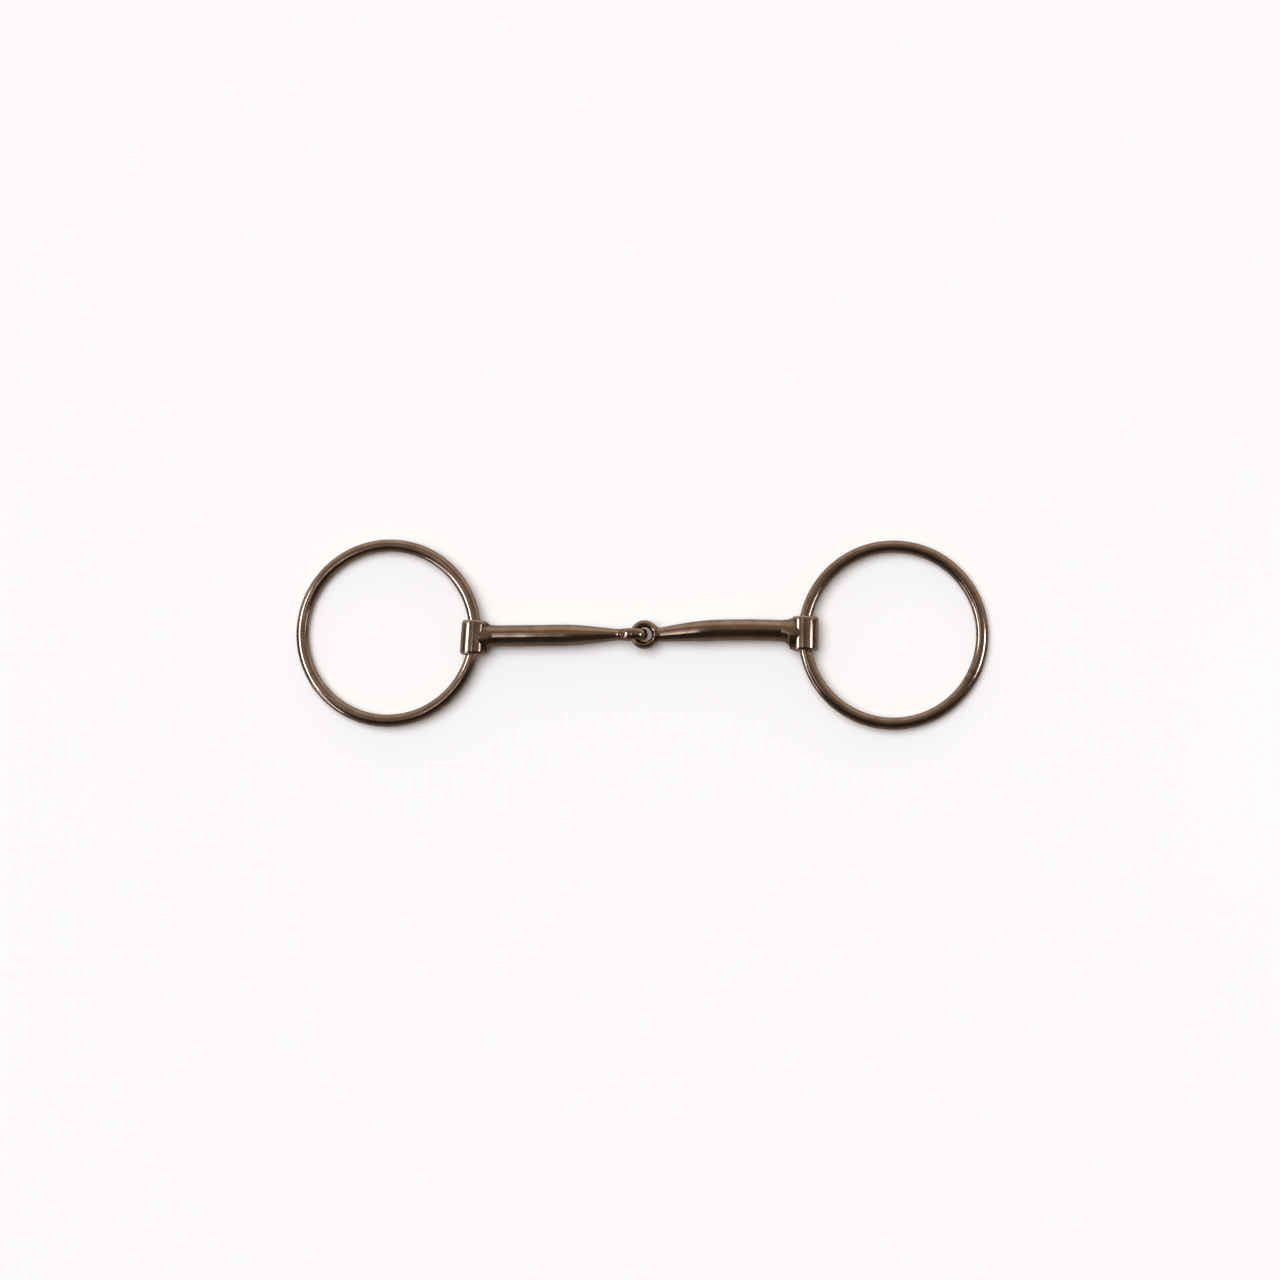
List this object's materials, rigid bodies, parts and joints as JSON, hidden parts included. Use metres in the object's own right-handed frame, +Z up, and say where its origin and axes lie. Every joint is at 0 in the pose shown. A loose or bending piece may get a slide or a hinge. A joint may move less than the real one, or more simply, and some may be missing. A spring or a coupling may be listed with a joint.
{
  "type": "snaffle bit",
  "caption": "Loose ring snaffle bit with a jointed mouthpiece: two tapered bars linked eye through eye, with a wire ring running through a sleeve at each outer end.",
  "frame": {"origin": "on the table under the middle of the bit, which lies flat and straight", "axes": "+X along the mouthpiece to its right half, +Y along the bores of the sleeves, +Z up off the table"},
  "size_m": [0.2805, 0.0773, 0.0116],
  "materials": {
    "ring_wire": "bright polished browned steel wire",
    "sleeve": "hand polished browned steel",
    "mouthpiece": "bright polished browned steel, faintly wavy from hand polishing",
    "braze": "dressed braze, duller than the bars, with small pits"
  },
  "bodies": {
    "left_half": {"left_cannon": "mouthpiece", "left_eye": "mouthpiece", "left_sleeve": "sleeve", "left_braze": "braze"},
    "right_half": {"right_cannon": "mouthpiece", "right_eye": "mouthpiece", "right_sleeve": "sleeve", "right_braze": "braze"},
    "left_ring_body": {"left_ring": "ring_wire"},
    "right_ring_body": {"right_ring": "ring_wire"}
  },
  "joints": [
    {"name": "left_ring_swing", "type": "hinge", "parent": "left_half", "child": "left_ring_body", "pos_m": [-0.067, -0.0012, 0.0058], "axis": [0.061, 0.9981, 0], "range_deg": [-90, 90]},
    {"name": "centre_fold", "type": "hinge", "parent": "left_half", "child": "right_half", "pos_m": [-0.00217, 0, 0.0058], "axis": [0, -1, 0], "range_deg": [-75, 75]},
    {"name": "right_ring_swing", "type": "hinge", "parent": "right_half", "child": "right_ring_body", "pos_m": [0.067, 0.0002, 0.0058], "axis": [-0.0122, -0.9999, 0], "range_deg": [-90, 90]}
  ]
}
